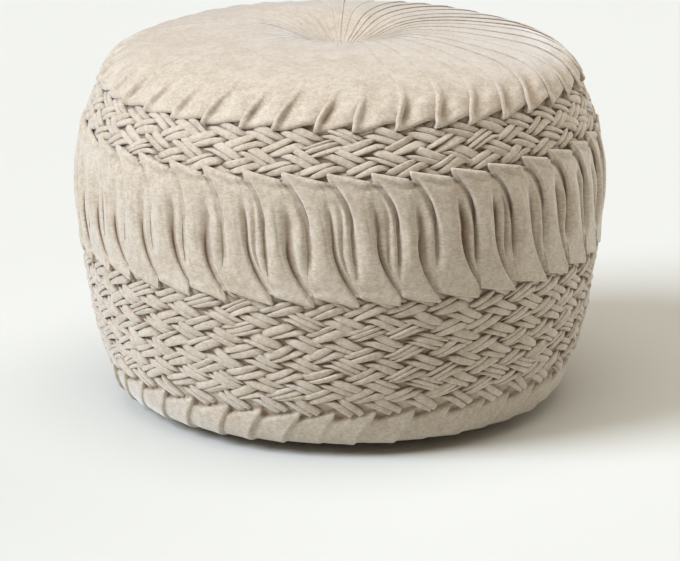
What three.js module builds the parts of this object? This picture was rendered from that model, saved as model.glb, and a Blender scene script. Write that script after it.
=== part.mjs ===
import * as THREE from "three";

// A round filled pouf with a hand-smocked velvet cover over a plain round base panel.
// Millimetres, +Z up, the origin under the middle of the base, -Y towards the front.

// Sizes of the whole pouf
const REPEATS = 40; // pleats counted once round the drum
const BASE_RADIUS = 165;
const BASE_THICKNESS = 2;
const BASE_STEPS = 80;
const FIT_GAP = 0.3;
const UNDERSIDE_HEIGHT = BASE_THICKNESS + FIT_GAP;
const FOOT_RADIUS = 173; // where the hem meets the flat underside
const OUTLINE_STEPS = 900; // for measuring along the outline

// The half section of the cover, from the dimple out over the crown and down to the floor.
// A named row is also where one part of the cover ends and the next begins.
const OUTLINE = [
  { name: "dimple", radius: 0, height: 329 },
  { name: "", radius: 28, height: 342 },
  { name: "", radius: 62, height: 355.5 },
  { name: "", radius: 100, height: 357.5 },
  { name: "", radius: 145, height: 353 },
  { name: "", radius: 186, height: 345 },
  { name: "", radius: 213, height: 330 },
  { name: "crown_lip", radius: 228, height: 310 },
  { name: "waist_top", radius: 243.5, height: 272 },
  { name: "", radius: 250, height: 224 },
  { name: "waist_foot", radius: 248.5, height: 162 },
  { name: "", radius: 244, height: 121.6 },
  { name: "", radius: 235.5, height: 73 },
  { name: "hem_top", radius: 225, height: 45 },
  { name: "", radius: 212, height: 16.5 },
  { name: "hem_foot", radius: 188, height: 8 },
];

// Smocked bands: the fold runs of each row lean one way, and the next row's lean the other way.
const UPPER_ROWS = 4;
const LOWER_ROWS = 10;
const ROW_SWING = 0.56; // how far round one run reaches, in repeats
const RUN_DEPTH = 6.5;
const RUN_INSET = 1.5; // the top of a run lies this far inside the outline
const UPPER_PHASE = 0.5;
const LOWER_PHASE = 0.55;
const LIP_CLEARANCE = 3; // along the outline, from the lip to the first line of the upper band
const RIM_CLEARANCE = 4; // from the last line of the upper band to the top of the waist
const FOOT_CLEARANCE = 10; // from the foot of the waist to the first line of the lower band

// Points across one repeat of a smocked run: the hollow between two runs, then the rounded run.
const RUN_SECTION = [
  { phase: 0.0, depth: 1.0 },
  { phase: 0.2, depth: 0.22 },
  { phase: 0.5, depth: 0.0 },
  { phase: 0.8, depth: 0.22 },
];

// Points across one knife pleat: its folded ridge, its sloping face and the foot under the next.
const PLEAT_SECTION = [
  { phase: 0.04, lift: 1.0, climb: 0.0 },
  { phase: 0.32, lift: 0.45, climb: 0.35 },
  { phase: 0.66, lift: 0.12, climb: 0.75 },
  { phase: 0.96, lift: 0.0, climb: 1.0 },
];

// Crown: pleats lie flat and tight in the dimple and roll up towards the scalloped lip.
const CROWN_PHASE = 0.36;
const CROWN_LINES = [
  { share: 0.035, ridge: 0.5, swing: 0.42 },
  { share: 0.22, ridge: 0.9, swing: 0.42 },
  { share: 0.45, ridge: 1.3, swing: 0.42 },
  { share: 0.68, ridge: 2.0, swing: 0.42 },
  { share: 0.84, ridge: 3.4, swing: 0.36 },
  { share: 0.93, ridge: 4.6, swing: 0.14 },
];
const LIP_RIDGE = 5;
const LIP_RISE = 9; // from a scallop's low tip to the point where it slips under the next
const LIP_TUCK = 8; // how far the cover turns in under the lip
const TUCK_DROP = 1;

// Waist: raised panels, each with a fold on its left from the top and an edge on its right
// that runs down to the next band, and a recessed valley between two panels. Each row gives
// where these four lie across a repeat, and how far the line falls over one repeat.
const WAIST_PHASE = 0.47;
const WAIST_LINES = [
  { share: 0.05, fold: -0.78, face: -0.42, edge: -0.04, valley: 0.18, raise: 1.5, sink: 0.0, fall: 8 },
  { share: 0.15, fold: -0.47, face: -0.18, edge: 0.14, valley: 0.45, raise: 2.5, sink: 0.8, fall: 3 },
  { share: 0.38, fold: -0.18, face: 0.08, edge: 0.31, valley: 0.56, raise: 2.8, sink: 4.5, fall: 0 },
  { share: 0.66, fold: -0.04, face: 0.2, edge: 0.43, valley: 0.68, raise: 2.8, sink: 4.5, fall: 0 },
  { share: 0.9, fold: 0.01, face: 0.32, edge: 0.66, valley: 0.8, raise: 2.5, sink: 0.8, fall: 3 },
  { share: 1.06, fold: 0.03, face: 0.45, edge: 0.9, valley: 0.98, raise: 1.5, sink: 0.0, fall: 9 },
];

// Points across one petal of the hem: it rises from under the last petal to a ridge on its right.
const PETAL_SECTION = [
  { phase: 0.04, lift: 0.0, climb: 0.0 },
  { phase: 0.34, lift: 0.3, climb: 0.35 },
  { phase: 0.66, lift: 0.6, climb: 0.7 },
  { phase: 0.96, lift: 1.0, climb: 1.0 },
];

// Hem: shallow petals, higher on their right, that turn in under the pouf.
const HEM_PHASE = 0.59;
const HEM_LINES = [
  { share: 0.14, ridge: 2.5, swing: 0.3, climb: 7 },
  { share: 0.5, ridge: 4.0, swing: 0.05, climb: 2 },
  { share: 0.85, ridge: 2.0, swing: -0.06, climb: 0 },
];
const FOOT_SWING = -0.06;

// Handwork is never quite even: how far a pleat may stray round, and in depth.
const STRAY_PHASE = 0.07;
const STRAY_LIFT = 0.16;

const outlineCurve = new THREE.SplineCurve(
  OUTLINE.map((row) => new THREE.Vector2(row.radius, row.height)),
);
outlineCurve.arcLengthDivisions = OUTLINE_STEPS;
const outlineLength = outlineCurve.getLength();

// The distance along the outline from the dimple to a named row.
function arcOf(name) {
  const row = OUTLINE.findIndex((point) => point.name === name);
  const lengths = outlineCurve.getLengths();
  const place = (row / (OUTLINE.length - 1)) * (lengths.length - 1);
  return lengths[Math.round(place)];
}

const LIP_ARC = arcOf("crown_lip");
const WAIST_TOP_ARC = arcOf("waist_top");
const WAIST_FOOT_ARC = arcOf("waist_foot");
const HEM_TOP_ARC = arcOf("hem_top");

// A smooth wander between -1 and 1: a slow wave and a quick one, which drift along the outline.
function stray(repeat, arc) {
  const round = (2 * Math.PI * repeat) / REPEATS;
  const slow = Math.sin(7 * round + arc / 45);
  const quick = Math.sin(17 * round - arc / 28);
  return (slow + quick) / 2;
}

// A point of the cover: so far along the outline, so far round, and proud of it by the lift.
function coverPoint(arc, turns, lift) {
  const along = THREE.MathUtils.clamp(arc / outlineLength, 0, 1);
  const point = outlineCurve.getPointAt(along);
  const tangent = outlineCurve.getTangentAt(along);
  const radius = point.x - tangent.y * lift;
  const height = point.y + tangent.x * lift;
  const angle = (2 * Math.PI * turns) / REPEATS;
  const low = Math.max(height, UNDERSIDE_HEIGHT);
  return new THREE.Vector3(radius * Math.sin(angle), -radius * Math.cos(angle), low);
}

// One closed line of points round the cover, from the points across a single repeat.
function lineRound(spots) {
  const points = [];
  for (let repeat = 0; repeat < REPEATS; repeat += 1) {
    for (const spot of spots) {
      const wander = stray(repeat, spot.arc);
      const turns = repeat + spot.phase + STRAY_PHASE * wander;
      const lift = spot.lift * (1 + STRAY_LIFT * wander);
      points.push(coverPoint(spot.arc, turns, lift));
    }
  }
  return points;
}

// A flat line on the underside, level and even.
function flatLine(radius, phases) {
  const points = [];
  for (let repeat = 0; repeat < REPEATS; repeat += 1) {
    for (const phase of phases) {
      const angle = (2 * Math.PI * (repeat + phase)) / REPEATS;
      const x = radius * Math.sin(angle);
      const y = -radius * Math.cos(angle);
      points.push(new THREE.Vector3(x, y, UNDERSIDE_HEIGHT));
    }
  }
  return points;
}

// The points across one pleat or petal, on a line that climbs towards its right.
function pleatSpots(section, arc, basePhase, ridge, climb) {
  return section.map((point) => ({
    arc: arc - climb * point.climb,
    phase: basePhase + point.phase,
    lift: ridge * point.lift,
  }));
}

function crownLines() {
  const lines = CROWN_LINES.map((row) => {
    const arc = row.share * LIP_ARC;
    return lineRound(pleatSpots(PLEAT_SECTION, arc, CROWN_PHASE + row.swing, row.ridge, 0));
  });
  const lip = pleatSpots(PLEAT_SECTION, LIP_ARC, CROWN_PHASE, LIP_RIDGE, LIP_RISE);
  const tuck = lip.map((spot) => ({
    arc: spot.arc + TUCK_DROP,
    phase: spot.phase,
    lift: spot.lift - LIP_TUCK,
  }));
  return [...lines, lineRound(lip), lineRound(tuck)];
}

// The lines of a smocked band. Every other line swings round, which makes the herringbone:
// the odd lines where firstSwing is 1, or the even ones where it is 0.
function bandLines(startArc, endArc, rows, basePhase, firstSwing) {
  const lines = [];
  for (let row = 0; row <= rows; row += 1) {
    const arc = THREE.MathUtils.lerp(startArc, endArc, row / rows);
    const swing = row % 2 === firstSwing ? ROW_SWING : 0;
    const spots = RUN_SECTION.map((point) => ({
      arc,
      phase: basePhase + swing + point.phase,
      lift: -RUN_INSET - RUN_DEPTH * point.depth,
    }));
    lines.push(lineRound(spots));
  }
  return lines;
}

// A waist line is lowest at the valley, where it reaches its share of the way down the waist.
function waistLines() {
  return WAIST_LINES.map((row) => {
    const lowest = THREE.MathUtils.lerp(WAIST_TOP_ARC, WAIST_FOOT_ARC, row.share);
    const spot = (phase, lift) => ({
      arc: lowest - row.fall * (row.valley - phase),
      phase: WAIST_PHASE + phase,
      lift,
    });
    return lineRound([
      spot(row.fold, row.raise),
      spot(row.face, row.raise / 2),
      spot(row.edge, row.raise),
      spot(row.valley, -row.sink),
    ]);
  });
}

function hemLines() {
  const lines = HEM_LINES.map((row) => {
    const arc = THREE.MathUtils.lerp(HEM_TOP_ARC, outlineLength, row.share);
    return lineRound(pleatSpots(PETAL_SECTION, arc, HEM_PHASE + row.swing, row.ridge, row.climb));
  });
  const phases = PETAL_SECTION.map((point) => HEM_PHASE + FOOT_SWING + point.phase);
  return [...lines, flatLine(FOOT_RADIUS, phases)];
}

// Joins the lines into one closed skin, with a pole at the dimple and one under the base.
function closedSkin(lines, top, bottom) {
  const around = lines[0].length;
  const positions = [...lines.flat(), top, bottom].flatMap((point) => point.toArray());
  const topPole = lines.length * around;
  const bottomPole = topPole + 1;
  const index = [];
  for (let column = 0; column < around; column += 1) {
    const next = (column + 1) % around;
    index.push(topPole, column, next);
    for (let line = 0; line + 1 < lines.length; line += 1) {
      const here = line * around;
      const below = here + around;
      index.push(here + column, below + column, below + next);
      index.push(here + column, below + next, here + next);
    }
    const last = topPole - around;
    index.push(last + column, bottomPole, last + next);
  }
  const geometry = new THREE.BufferGeometry();
  geometry.setAttribute("position", new THREE.Float32BufferAttribute(positions, 3));
  geometry.setIndex(index);
  geometry.computeVertexNormals();
  return geometry;
}

function makeCover() {
  const lines = [
    ...crownLines(),
    ...bandLines(LIP_ARC + LIP_CLEARANCE, WAIST_TOP_ARC - RIM_CLEARANCE, UPPER_ROWS, UPPER_PHASE, 1),
    ...waistLines(),
    ...bandLines(WAIST_FOOT_ARC + FOOT_CLEARANCE, HEM_TOP_ARC, LOWER_ROWS, LOWER_PHASE, 0),
    ...hemLines(),
  ];
  const top = coverPoint(0, 0, 0);
  const bottom = new THREE.Vector3(0, 0, UNDERSIDE_HEIGHT);
  const velvet = new THREE.MeshStandardMaterial({
    color: 0xd6c8b0,
    roughness: 0.9,
    metalness: 0,
  });
  const cover = new THREE.Mesh(closedSkin(lines, top, bottom), velvet);
  cover.name = "velvet_cover";
  return cover;
}

function makeBasePanel() {
  const disc = new THREE.CylinderGeometry(BASE_RADIUS, BASE_RADIUS, BASE_THICKNESS, BASE_STEPS);
  disc.rotateX(Math.PI / 2);
  const plainCloth = new THREE.MeshStandardMaterial({
    color: 0xb8a88e,
    roughness: 0.95,
    metalness: 0,
  });
  const panel = new THREE.Mesh(disc, plainCloth);
  panel.name = "base_panel";
  panel.position.z = BASE_THICKNESS / 2;
  return panel;
}

const pouf = new THREE.Group();
pouf.add(makeCover());
pouf.add(makeBasePanel());

export default pouf;
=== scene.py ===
"""Looks of a hand-smocked velvet pouf, in metres, around its packed solids.

The cover is made in the pieces that the eye tells apart: a pleated crown, an upper smocked
band, a plain waist with knife pleats, a lower smocked band, a gathered hem and a round base
panel. Places on the cover are given as an arc down its outline from the dimple, as turns
counted in pleat repeats to the right round the drum, and as a lift proud of the outline.
Spans, courses and tables of points are in millimetres, and other lengths in metres.
"""

import logging
import math
from abc import ABC, abstractmethod
from dataclasses import dataclass
from enum import Enum

import bpy
import numpy as np
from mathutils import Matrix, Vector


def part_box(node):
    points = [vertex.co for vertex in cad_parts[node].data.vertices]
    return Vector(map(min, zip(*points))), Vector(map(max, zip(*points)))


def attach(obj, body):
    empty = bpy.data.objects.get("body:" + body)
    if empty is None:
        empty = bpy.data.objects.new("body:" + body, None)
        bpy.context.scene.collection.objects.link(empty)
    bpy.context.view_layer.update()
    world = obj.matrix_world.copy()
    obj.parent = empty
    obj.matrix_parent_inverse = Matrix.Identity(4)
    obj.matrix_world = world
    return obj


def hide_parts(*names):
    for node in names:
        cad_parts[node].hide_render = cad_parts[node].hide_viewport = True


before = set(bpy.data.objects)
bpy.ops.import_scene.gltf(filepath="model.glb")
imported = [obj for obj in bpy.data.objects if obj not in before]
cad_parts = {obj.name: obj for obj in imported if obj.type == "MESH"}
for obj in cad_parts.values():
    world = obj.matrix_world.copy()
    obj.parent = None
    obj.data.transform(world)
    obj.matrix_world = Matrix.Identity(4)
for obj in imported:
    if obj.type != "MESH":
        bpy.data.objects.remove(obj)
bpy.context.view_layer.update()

MM = 0.001
REPEATS = 40  # pleats counted once round the drum
EACH = np.arange(REPEATS)[None, :, None]  # the repeats, along the second of three axes
LOG = logging.getLogger("pouf")

Amount = float | np.ndarray
Colour = tuple[float, float, float]
Span = tuple[float, float]
Piece = bpy.types.Object
Socket = bpy.types.NodeSocket
Feed = dict[str | int, Socket | float | tuple[float, ...]]


@dataclass(frozen=True)
class Station:
    """One point of the cover's half outline, in millimetres.

    Args:
        name: What ends or starts here, or nothing.
        radius: Distance from the upright axis.
        height: Height above the floor.
    """

    name: str
    radius: float
    height: float


OUTLINE = (
    Station("dimple", 0, 329),
    Station("", 28, 342),
    Station("", 62, 355.5),
    Station("", 100, 357.5),
    Station("", 145, 353),
    Station("", 186, 345),
    Station("", 213, 330),
    Station("crown_lip", 228, 310),
    Station("waist_top", 243.5, 272),
    Station("", 250, 224),
    Station("waist_foot", 248.5, 162),
    Station("", 244, 121.6),
    Station("", 235.5, 73),
    Station("hem_top", 225, 45),
    Station("", 212, 16.5),
    Station("hem_foot", 188, 8),
    Station("", 173, 4.4),
    Station("turn_in", 160, 3.4),
)


class Drum:
    """The smooth shape of the cover, its half outline turned about the upright axis."""

    STEPS = 60  # from one station to the next

    def __init__(self, stations: tuple[Station, ...]) -> None:
        """Draws a smooth curve through the stations.

        Args:
            stations: The half outline, from the dimple down and in under the pouf.
        """
        knots = np.array([(row.radius, row.height) for row in stations]) * MM
        before = np.vstack([knots[:1], knots[:-2]])
        start, end = knots[:-1], knots[1:]
        after = np.vstack([knots[2:], knots[-1:]])
        share = (np.arange(self.STEPS) / self.STEPS)[None, :, None]
        curve = catmull_rom(before[:, None], start[:, None], end[:, None], after[:, None], share)
        self.points = np.vstack([curve.reshape(-1, 2), knots[-1:]])
        steps = np.hypot(*np.diff(self.points, axis=0).T)
        self.arcs = np.concatenate([[0.0], np.cumsum(steps)])
        slope = np.gradient(self.points, self.arcs, axis=0)
        self.tangents = slope / np.hypot(slope[:, 0], slope[:, 1])[:, None]
        self.names = [row.name for row in stations]

    def arc_of(self, name: str) -> float:
        """Gives the arc at which a named station lies."""
        return float(self.arcs[self.names.index(name) * self.STEPS])

    def girth(self, arc: np.ndarray) -> np.ndarray:
        """Gives the width of one repeat at an arc."""
        return 2 * math.pi * np.interp(arc, self.arcs, self.points[:, 0]) / REPEATS

    def place(self, arc: np.ndarray, turns: np.ndarray, lift: np.ndarray) -> np.ndarray:
        """Turns places on the cover into points.

        Args:
            arc: Distances down the outline.
            turns: Places round the drum, in repeats.
            lift: Distances proud of the outline.

        Returns:
            One point for each place, along a last axis of three.
        """
        radius = np.interp(arc, self.arcs, self.points[:, 0])
        height = np.interp(arc, self.arcs, self.points[:, 1])
        out = np.interp(arc, self.arcs, self.tangents[:, 0])
        down = np.interp(arc, self.arcs, self.tangents[:, 1])
        radius = np.maximum(radius - down * lift, 0.0)
        height = height + out * lift
        angle = 2 * math.pi * turns / REPEATS
        return np.stack([radius * np.sin(angle), -radius * np.cos(angle), height], axis=-1)


def catmull_rom(
    before: np.ndarray, start: np.ndarray, end: np.ndarray, after: np.ndarray, share: np.ndarray
) -> np.ndarray:
    """Smooth in-between values from start to end.

    Args:
        before: The value before the start.
        start: The value at share 0.
        end: The value at share 1.
        after: The value after the end.
        share: How far between start and end.

    Returns:
        The values at each share.
    """
    leave = (end - before) / 2
    arrive = (after - start) / 2
    cubic = (2 * start - 2 * end + leave + arrive) * share**3
    square = (3 * end - 3 * start - 2 * leave - arrive) * share**2
    return cubic + square + leave * share + start


def smooth_round(values: np.ndarray, spans: int, period: float = 0.0) -> np.ndarray:
    """Fills in the values between the control values of closed rows.

    Args:
        values: Rows of control values, each row once round the drum.
        spans: Steps from one control value to the next.
        period: What the values grow by in one round.

    Returns:
        The rows with all their in-between values.
    """
    padded = np.hstack([values[:, -1:] - period, values, values[:, :2] + period])
    share = (np.arange(spans) / spans)[None, None, :]
    parts = [padded[:, 0:-3], padded[:, 1:-2], padded[:, 2:-1], padded[:, 3:]]
    filled = catmull_rom(*[part[:, :, None] for part in parts], share)
    return filled.reshape(len(values), -1)


def ease(value: Amount, low: Amount, high: Amount) -> np.ndarray:
    """Rises smoothly from 0 at low to 1 at high."""
    share = np.clip((value - low) / (high - low), 0.0, 1.0)
    return share * share * (3 - 2 * share)


def mix(first: Amount, second: Amount, amount: np.ndarray) -> np.ndarray:
    """Goes from the first value to the second as the amount goes from 0 to 1."""
    return first * (1 - amount) + second * amount


def bell(value: np.ndarray, middle: Amount, reach: float) -> np.ndarray:
    """Gives 1 at the middle and falls smoothly to 0 on both sides."""
    return np.exp(-(((value - middle) / reach) ** 2))


def soften(value: np.ndarray, softness: float, side: int) -> np.ndarray:
    """Rounds the corner of a value that is cut off at 0, below it or above it."""
    return (value + side * np.sqrt(value**2 + softness**2)) / 2


def columns_of(rows: list[dict[str, float]]) -> dict[str, np.ndarray]:
    """Turns rows of named values into one array for each name."""
    return {key: np.array([row[key] for row in rows]) for key in rows[0]}


@dataclass(frozen=True)
class Course:
    """A size that changes along the cloth, straight from each place to the next.

    Args:
        places: Distances along the cloth.
        sizes: The size at each of them.
    """

    places: tuple[float, ...]
    sizes: tuple[float, ...]

    def at(self, place: np.ndarray) -> np.ndarray:
        """Gives the size at a place."""
        return np.interp(place, self.places, self.sizes)


@dataclass(frozen=True)
class Stretch:
    """A stretch of the drum whose pleats are not like the others.

    Args:
        share: By what share something is smaller.
        middle: The repeat at the middle of the stretch.
        reach: How far it spreads to each side, 1 being half way round.
    """

    share: float
    middle: float
    reach: float

    def near(self) -> np.ndarray:
        """Gives 1 at the middle, falling to 0 round the drum, for each repeat."""
        return bell(np.sin(math.pi * (EACH - self.middle) / REPEATS), 0.0, self.reach)

    def less_within(self) -> np.ndarray:
        """Gives each repeat a factor that is smaller within the stretch."""
        return 1 - self.share * self.near()

    def less_outside(self) -> np.ndarray:
        """Gives each repeat a factor that is smaller outside the stretch."""
        return 1 - self.share * (1 - self.near())


class Handwork:
    """The small unevenness of work done by hand, the same on every run."""

    SLOW_WAVES = 7
    SLOW_LENGTH = 45 * MM
    QUICK_WAVES = 17
    QUICK_LENGTH = 28 * MM

    def __init__(self, seed: int) -> None:
        """Starts a seeded source of stray amounts."""
        self.source = np.random.default_rng(seed)

    def draw(self, count: int, span: Span = (-1.0, 1.0)) -> np.ndarray:
        """Draws a few even random amounts within a span."""
        return self.source.uniform(*span, count)

    def each(self, span: Span) -> np.ndarray:
        """Draws an even random amount within a span for each repeat."""
        return self.source.uniform(*span, EACH.shape)

    @classmethod
    def wander(cls, turns: np.ndarray, arc: np.ndarray) -> np.ndarray:
        """Wanders smoothly between -1 and 1, by a slow wave and a quick one round the drum.

        Args:
            turns: Places round the drum, in repeats.
            arc: Distances down the outline.

        Returns:
            How far each place has wandered.
        """
        angle = 2 * math.pi * np.floor(turns) / REPEATS
        slow = np.sin(cls.SLOW_WAVES * angle + arc / cls.SLOW_LENGTH)
        quick = np.sin(cls.QUICK_WAVES * angle - arc / cls.QUICK_LENGTH)
        return (slow + quick) / 2


class Shaper:
    """Makes meshes from flat grids and shapes them by moving their points."""

    # The point attribute named crease holds painted shade, darkest deep in creases.
    CREASE = "crease"
    UV = "cloth"
    WELD = 0.002 * MM

    @staticmethod
    def settle() -> None:
        """Leaves edit mode and deselects everything."""
        if bpy.context.object and bpy.context.object.mode != "OBJECT":
            bpy.ops.object.mode_set(mode="OBJECT")
        bpy.ops.object.select_all(action="DESELECT")

    @classmethod
    def grid(cls, name: str, across: int, down: int) -> Piece:
        """Adds a flat grid one unit wide and high.

        Args:
            name: The piece's name.
            across: Faces from left to right.
            down: Faces from top to bottom.

        Returns:
            The grid's object.
        """
        cls.settle()
        bpy.ops.mesh.primitive_grid_add(x_subdivisions=across, y_subdivisions=down, size=1)
        piece = bpy.context.object
        piece.name = name
        piece.data.name = name
        return piece

    @staticmethod
    def points(piece: Piece) -> np.ndarray:
        """Reads a mesh's points.

        Args:
            piece: The mesh's object.

        Returns:
            The points, along a last axis of three.
        """
        flat = np.empty(len(piece.data.vertices) * 3, np.float32)
        piece.data.vertices.foreach_get("co", flat)
        return flat.reshape(-1, 3).astype(float)

    @classmethod
    def dress(cls, piece: Piece, points: np.ndarray, cloth: np.ndarray, crease: np.ndarray) -> None:
        """Moves a mesh's points and writes its cloth coordinates and the painted shade of its
        creases.

        Args:
            piece: The mesh's object.
            points: The new place of each point.
            cloth: Where each point lies on the flat cloth, in metres.
            crease: How much painted shade each point gets, from 0 to 1, mostly for lying deep in a
                crease.
        """
        mesh = piece.data
        mesh.vertices.foreach_set("co", points.astype(np.float32).ravel())
        corners = np.empty(len(mesh.loops), np.int32)
        mesh.loops.foreach_get("vertex_index", corners)
        layer = mesh.uv_layers[0]
        layer.name = cls.UV
        layer.uv.foreach_set("vector", cloth[corners].astype(np.float32).ravel())
        # Painted shade, stored for the material to darken the colour with.
        shade = mesh.attributes.new(cls.CREASE, "FLOAT", "POINT")
        shade.data.foreach_set("value", np.clip(crease, 0, 1).astype(np.float32))
        mesh.update()

    @classmethod
    def close(cls, piece: Piece) -> None:
        """Merges the points that meet at a seam or a pole, and smooths the shading.

        Args:
            piece: The mesh's object.
        """
        cls.settle()
        piece.select_set(True)
        bpy.context.view_layer.objects.active = piece
        bpy.ops.object.mode_set(mode="EDIT")
        bpy.ops.mesh.select_all(action="SELECT")
        bpy.ops.mesh.remove_doubles(threshold=cls.WELD)
        bpy.ops.object.mode_set(mode="OBJECT")
        bpy.ops.object.shade_smooth()
        cls.settle()

    @classmethod
    def join(cls, pieces: list[Piece]) -> Piece:
        """Joins pieces into the first of them.

        Args:
            pieces: The objects to join.

        Returns:
            The one object that is left.
        """
        cls.settle()
        for piece in pieces:
            piece.select_set(True)
        bpy.context.view_layer.objects.active = pieces[0]
        bpy.ops.object.join()
        cls.settle()
        return pieces[0]


@dataclass(frozen=True)
class Cloth:
    """Rows of places on the cover, each row once round the drum.

    Args:
        arc: Distances down the outline.
        turns: Places round the drum, in repeats.
        lift: Distances proud of the outline.
        shade: How much painted shade each place gets beyond what its lift gives it.
    """

    arc: np.ndarray
    turns: np.ndarray
    lift: np.ndarray
    shade: np.ndarray

    @classmethod
    def laid(cls, *sheets: np.ndarray) -> "Cloth":
        """Lays out arcs, turns, lifts and painted shades given by row, repeat and point."""
        return cls(*[sheet.reshape(len(sheet), -1) for sheet in np.broadcast_arrays(*sheets)])

    def rolled(self, roll: tuple[Span, ...], way: int) -> "Cloth":
        """Rolls an edge of the cloth in under itself.

        Args:
            roll: How far further along and how far in each added row lies.
            way: 1 for the lower edge, -1 for the upper one.

        Returns:
            The cloth with the added rows.
        """
        edge = -1 if way > 0 else 0
        along, sink = np.array(roll).T[:, ::way, None] * MM
        moves = {"arc": way * along, "turns": 0 * along, "lift": -sink, "shade": 0 * along}
        sheets = [(getattr(self, key), getattr(self, key)[edge] + by) for key, by in moves.items()]
        return Cloth(*[np.vstack(sheet[::way]) for sheet in sheets])

    def wrap(self, name: str, drum: Drum, deep: float, spans: int = 2) -> Piece:
        """Wraps a grid right round the drum, smoothly through the places.

        Args:
            name: The piece's name.
            drum: The drum that it lies on.
            deep: The lift at which the painted crease shade is at its darkest, below 0.
            spans: Steps from one place to the next.

        Returns:
            The closed ring of cloth.
        """
        arc, lift, shade = [smooth_round(rows, spans) for rows in (self.arc, self.lift, self.shade)]
        turns = smooth_round(self.turns, spans, REPEATS)
        rows, columns = arc.shape
        piece = Shaper.grid(name, columns, rows - 1)
        flat = Shaper.points(piece)
        column = np.rint((flat[:, 0] + 0.5) * columns).astype(int)
        row = np.rint((0.5 - flat[:, 1]) * (rows - 1)).astype(int)
        here = (row, column % columns)
        lap = np.where(column == columns, REPEATS, 0)
        along = (turns[here] + lap) * drum.girth(np.array(drum.arc_of("waist_top")))
        flat_place = np.stack([along, -arc[here]], axis=-1)
        # Painted shade: darker the deeper a place lies, plus its own painted shade.
        crease = np.clip(lift / deep, 0, 1) + shade
        points = drum.place(arc[here], turns[here], lift[here])
        Shaper.dress(piece, points, flat_place, crease[here])
        Shaper.close(piece)
        return piece


@dataclass(frozen=True)
class Finish(ABC):
    """What a surface is made to look like.

    Args:
        name: The material's name.
        roughness: How matt it is, from 0 to 1.
        specular: How strong its plain gloss is.
    """

    name: str
    roughness: float
    specular: float

    @abstractmethod
    def paint(self, recipe: "Recipe", place: Socket) -> Feed:
        """Adds the finish's own nodes, and gives what they feed to the surface."""

    def build(self) -> bpy.types.Material:
        """Builds the node material.

        Returns:
            The finished material.
        """
        recipe = Recipe(self.name)
        plain = {"Roughness": self.roughness, "Specular IOR Level": self.specular}
        place = recipe.add("ShaderNodeTexCoord", "Object", {})
        recipe.feed(recipe.surface, {**plain, **self.paint(recipe, place)})
        return recipe.material


@dataclass(frozen=True)
class VelvetFinish(Finish):
    """Short-pile velvet, softly crushed, with painted browner shade in its creases.

    Args:
        pile: Colour of the pile where it lies flat.
        brushed: Colour where the pile is brushed up towards the light.
        crease: Colour of the painted shade at the bottom of a crease.
        mottle: Size of the large crushed patches.
        crush: Size of the small ones.
        grain: Size of the woven grain under the pile.
        crush_share: How much of the nap is fine crushing.
        grain_share: How much of it is grain.
        grain_stretch: How much longer the grain is one way, below 1.
        crush_relief: How much of the relief is fine crushing.
        nap_span: Where the nap turns from flat to brushed.
        crease_from: Depth at which the painted crease shade starts to darken.
        relief: Height of the grain.
        relief_strength: The share of it that shows.
        sheen: Strength of the soft glow at glancing angles.
        sheen_roughness: How wide that glow spreads.
        sheen_tint: Its colour.
    """

    name: str = "velvet"
    roughness: float = 0.85
    specular: float = 0.18
    pile: Colour = (0.468, 0.384, 0.284)
    brushed: Colour = (0.60, 0.524, 0.423)
    # Colour of the painted crease shade.
    crease: Colour = (0.32, 0.21, 0.14)
    mottle: float = 22 * MM
    crush: float = 5.5 * MM
    grain: float = 1.7 * MM
    crush_share: float = 0.55
    grain_share: float = 0.38
    grain_stretch: float = 0.45
    crush_relief: float = 0.4
    nap_span: Span = (0.42, 0.57)
    crease_from: float = 0.2
    relief: float = 0.7 * MM
    relief_strength: float = 0.75
    sheen: float = 0.75
    sheen_roughness: float = 0.45
    sheen_tint: Colour = (0.94, 0.98, 1.0)

    def paint(self, recipe: "Recipe", place: Socket) -> Feed:
        """Adds the nodes of the pile, the painted shade in its creases and its relief.

        Args:
            recipe: The material in the making.
            place: The object's own coordinates.

        Returns:
            What the nodes feed to the surface.
        """
        cloth = recipe.add("ShaderNodeUVMap", "UV", {}, uv_map=Shaper.UV)
        patches = recipe.noise(place, 1 / self.mottle, detail=4, roughness=0.62)
        crush = recipe.noise(place, 1 / self.crush, detail=4, roughness=0.7)
        stretched = recipe.stretch(cloth, (self.grain_stretch, 1.0, 1.0))
        grain = recipe.noise(stretched, 1 / self.grain, detail=2, roughness=0.6)
        nap = recipe.blend(patches, crush, self.crush_share)
        nap = recipe.blend(nap, grain, self.grain_share)
        tone = recipe.ramp(nap, self.nap_span, (self.pile, self.brushed))
        # Painted shade: the crease attribute darkens and browns the pile.
        depth = recipe.add("ShaderNodeAttribute", "Fac", {}, attribute_name=Shaper.CREASE)
        shade = recipe.ramp(depth, (self.crease_from, 1.0), ((1, 1, 1), self.crease))
        relief = recipe.blend(grain, crush, self.crush_relief)
        return {
            "Base Color": recipe.multiply(tone, shade),
            "Normal": recipe.bump(relief, self.relief_strength, self.relief),
            "Sheen Weight": self.sheen,
            "Sheen Roughness": self.sheen_roughness,
            "Sheen Tint": (*self.sheen_tint, 1.0),
        }


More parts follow.
